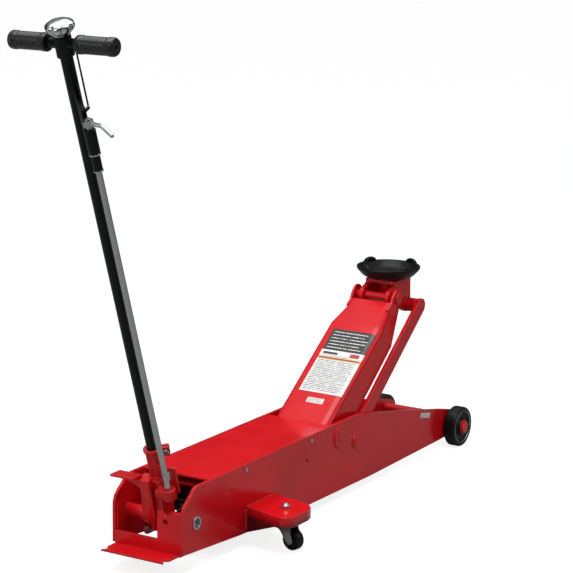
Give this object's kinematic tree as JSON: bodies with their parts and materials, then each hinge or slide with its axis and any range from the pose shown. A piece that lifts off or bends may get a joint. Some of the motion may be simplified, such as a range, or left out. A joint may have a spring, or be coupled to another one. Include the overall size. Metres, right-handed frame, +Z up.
{
  "type": "hydraulic floor jack",
  "caption": "Long-chassis hydraulic floor jack with lift arm, level-keeping saddle, leaning tee handle with foot pedal, steel front wheels and rear swivel casters.",
  "frame": {"origin": "centre of the overall box, on the ground", "axes": "+X forward towards the front wheels and the saddle, +Y to the left, +Z up"},
  "size_m": [1.8752, 0.512, 1.4077],
  "materials": {
    "red_paint": "gloss",
    "red_casting": "semi-gloss",
    "red_cylinder": "semi-gloss",
    "dark_iron": "satin",
    "black_paint": "gloss",
    "black_grip": "satin",
    "steel": "satin",
    "zinc": "zinc plated",
    "chrome": "polished",
    "black_plastic": "matte",
    "black_tyre": "moulded"
  },
  "bodies": {
    "chassis": {"side_plate_left": "red_paint", "side_plate_right": "red_paint", "rear_plate": "red_paint", "rear_lip": "red_paint", "cover_plate": "red_paint", "cross_ties": "red_paint", "front_axle": "steel", "wing_left": "red_paint", "wing_right": "red_paint", "pivot_shaft": "steel", "pivot_sleeves": "red_paint", "arm_shaft": "steel", "link_pins": "steel", "ram_cylinder": "red_cylinder", "pump_block": "dark_iron", "fill_plug": "black_plastic", "chassis_bolts": "steel", "caster_bolts": "steel"},
    "arm": {"lift_arm": "red_paint", "arm_bushing": "red_paint", "arm_crank": "red_paint", "arm_pin": "steel", "crank_pin": "steel"},
    "link_left": {"radius_rod_left": "red_paint"},
    "link_right": {"radius_rod_right": "red_paint"},
    "bracket": {"saddle_bracket": "red_paint", "bracket_pin": "steel"},
    "saddle": {"saddle_cup": "dark_iron", "saddle_lugs": "dark_iron"},
    "ram": {"ram_rod": "chrome", "crosshead": "red_paint"},
    "handle": {"handle_yoke": "red_casting", "handle_socket": "red_casting", "pump_cam": "red_paint", "foot_pedal": "red_paint", "pole": "black_paint", "lock_bracket": "black_paint", "guide_rod": "black_paint", "tee_bar": "black_paint", "grip_left": "black_grip", "grip_right": "black_grip", "clamp_bolt": "chrome"},
    "release": {"release_knob": "chrome", "release_rod": "zinc"},
    "valve": {"valve_stem": "steel"},
    "plunger": {"pump_plunger": "chrome"},
    "lock": {"lock_rod": "zinc", "lock_coupling": "zinc", "lock_lever": "zinc"},
    "wheel_left": {"front_wheel_left": "black_tyre"},
    "wheel_right": {"front_wheel_right": "black_tyre"},
    "fork_left_body": {"fork_left": "zinc"},
    "fork_right_body": {"fork_right": "zinc"},
    "caster_left_body": {"caster_left": "black_tyre"},
    "caster_right_body": {"caster_right": "black_tyre"}
  },
  "joints": [
    {"name": "arm_lift", "type": "hinge", "parent": "chassis", "child": "arm", "pos_m": [0.2066, 0, 0.181], "axis": [0, 1, 0], "range_deg": [0, 47]},
    {"name": "link_left_turn", "type": "hinge", "parent": "chassis", "child": "link_left", "pos_m": [0.2986, 0.093, 0.147], "axis": [0, 1, 0], "range_deg": [0, 47]},
    {"name": "link_right_turn", "type": "hinge", "parent": "chassis", "child": "link_right", "pos_m": [0.2986, -0.093, 0.147], "axis": [0, 1, 0], "range_deg": [0, 47]},
    {"name": "bracket_level", "type": "hinge", "parent": "arm", "child": "bracket", "pos_m": [0.59517, 0, 0.49566], "axis": [0, 1, 0], "range_deg": [-47, 0]},
    {"name": "saddle_turn", "type": "hinge", "parent": "bracket", "child": "saddle", "pos_m": [0.6596, 0, 0.541], "axis": [0, 0, 1], "continuous": true},
    {"name": "ram_slide", "type": "slide", "parent": "chassis", "child": "ram", "axis": [-1, 0, 0], "range_m": [0, 0.07985]},
    {"name": "handle_swing", "type": "hinge", "parent": "chassis", "child": "handle", "pos_m": [-0.4994, 0, 0.125], "axis": [0, -1, 0], "range_deg": [-10, 60]},
    {"name": "plunger_slide", "type": "slide", "parent": "chassis", "child": "plunger", "axis": [1, 0, 0], "range_m": [-0.0031, 0.0181]},
    {"name": "release_turn", "type": "hinge", "parent": "handle", "child": "release", "pos_m": [-0.89731, 0, 1.37543], "axis": [-0.3206, 0, 0.9472], "range_deg": [0, 360]},
    {"name": "valve_turn", "type": "hinge", "parent": "chassis", "child": "valve", "pos_m": [-0.4604, 0.033, 0.084], "axis": [1, 0, 0], "range_deg": [0, 360]},
    {"name": "lock_slide", "type": "slide", "parent": "handle", "child": "lock", "axis": [-0.3206, 0, 0.9472], "range_m": [0, 0.018], "stiffness_N_per_m": 1200, "springref_m": -0.012},
    {"name": "front_wheel_left_spin", "type": "hinge", "parent": "chassis", "child": "wheel_left", "pos_m": [0.8776, 0.13, 0.06], "axis": [0, 1, 0], "continuous": true},
    {"name": "front_wheel_right_spin", "type": "hinge", "parent": "chassis", "child": "wheel_right", "pos_m": [0.8776, -0.13, 0.06], "axis": [0, 1, 0], "continuous": true},
    {"name": "fork_left_swivel", "type": "hinge", "parent": "chassis", "child": "fork_left_body", "pos_m": [-0.2214, 0.199, 0.08], "axis": [0, 0, 1], "continuous": true},
    {"name": "fork_right_swivel", "type": "hinge", "parent": "chassis", "child": "fork_right_body", "pos_m": [-0.2214, -0.199, 0.08], "axis": [0, 0, 1], "continuous": true},
    {"name": "caster_left_spin", "type": "hinge", "parent": "fork_left_body", "child": "caster_left_body", "pos_m": [-0.22592, 0.2246, 0.028], "axis": [-0.9848, -0.1736, 0], "continuous": true},
    {"name": "caster_right_spin", "type": "hinge", "parent": "fork_right_body", "child": "caster_right_body", "pos_m": [-0.22592, -0.2246, 0.028], "axis": [0.9848, -0.1736, 0], "continuous": true}
  ],
  "couplings": [
    {"joint": "link_left_turn", "follows": "arm_lift", "ratio": 1},
    {"joint": "link_right_turn", "follows": "arm_lift", "ratio": 1},
    {"joint": "bracket_level", "follows": "arm_lift", "ratio": -1},
    {"joint": "ram_slide", "follows": "arm_lift", "m_per_rad": 0.09722},
    {"joint": "plunger_slide", "follows": "handle_swing", "m_per_rad": 0.017189},
    {"joint": "valve_turn", "follows": "release_turn", "ratio": 1}
  ]
}
